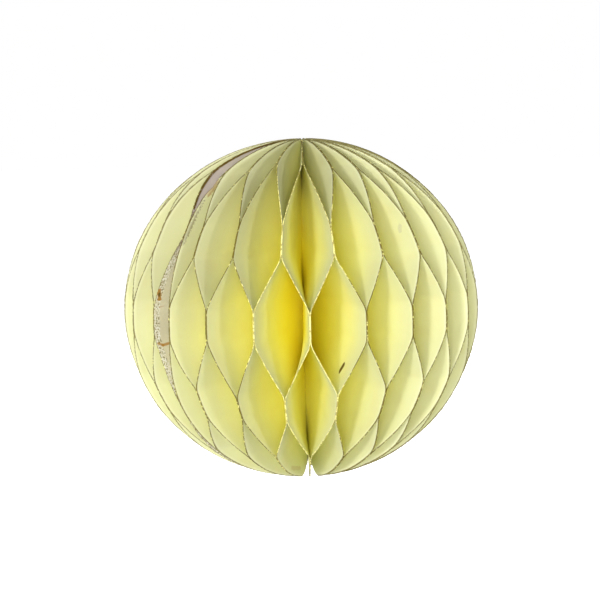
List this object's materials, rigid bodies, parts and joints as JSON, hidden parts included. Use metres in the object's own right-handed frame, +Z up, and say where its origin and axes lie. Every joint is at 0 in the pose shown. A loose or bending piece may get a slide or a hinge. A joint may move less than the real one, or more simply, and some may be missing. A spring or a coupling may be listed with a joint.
{
  "type": "honeycomb paper ball",
  "caption": "Ball of bent half-disc paper leaves glued in alternate strips round an upright axis, opening into pointed cells.",
  "frame": {"origin": "middle of the ball, on the axis that the leaves stand round, half way between its poles", "axes": "+Z up along that axis towards the top pole; -Y towards the front, with the seam to the left of it"},
  "size_m": [0.0994, 0.0997, 0.0952],
  "materials": {
    "yellow_paper": "matt, faintly fibrous",
    "grey_faced_paper": "matt, grey-beige face towards the seam"
  },
  "bodies": {
    "root": {"end_sheet": "yellow_paper", "leaf_01": "yellow_paper", "leaf_02": "yellow_paper", "leaf_03": "yellow_paper", "leaf_04": "yellow_paper", "leaf_05": "yellow_paper", "leaf_06": "yellow_paper", "leaf_07": "yellow_paper", "leaf_08": "yellow_paper", "leaf_09": "yellow_paper", "leaf_10": "yellow_paper", "leaf_11": "yellow_paper", "leaf_12": "yellow_paper", "leaf_13": "yellow_paper", "leaf_14": "yellow_paper", "leaf_15": "yellow_paper", "leaf_16": "yellow_paper", "leaf_17": "yellow_paper", "leaf_18": "yellow_paper", "leaf_19": "yellow_paper", "leaf_20": "yellow_paper", "leaf_21": "yellow_paper", "leaf_22": "yellow_paper", "leaf_23": "yellow_paper", "leaf_24": "yellow_paper", "leaf_25": "yellow_paper", "leaf_26": "yellow_paper", "leaf_27": "yellow_paper", "leaf_28": "yellow_paper", "leaf_29": "yellow_paper", "leaf_30": "yellow_paper", "leaf_31": "yellow_paper", "leaf_32": "yellow_paper", "leaf_33": "yellow_paper", "leaf_34": "yellow_paper", "leaf_35": "yellow_paper", "leaf_36": "yellow_paper", "leaf_37": "yellow_paper", "leaf_38": "yellow_paper", "leaf_39": "yellow_paper", "leaf_40": "yellow_paper", "leaf_41": "yellow_paper", "leaf_42": "yellow_paper", "leaf_43": "yellow_paper", "leaf_44": "yellow_paper", "leaf_45": "yellow_paper", "leaf_46": "yellow_paper", "leaf_47": "grey_faced_paper"}
  },
  "joints": []
}
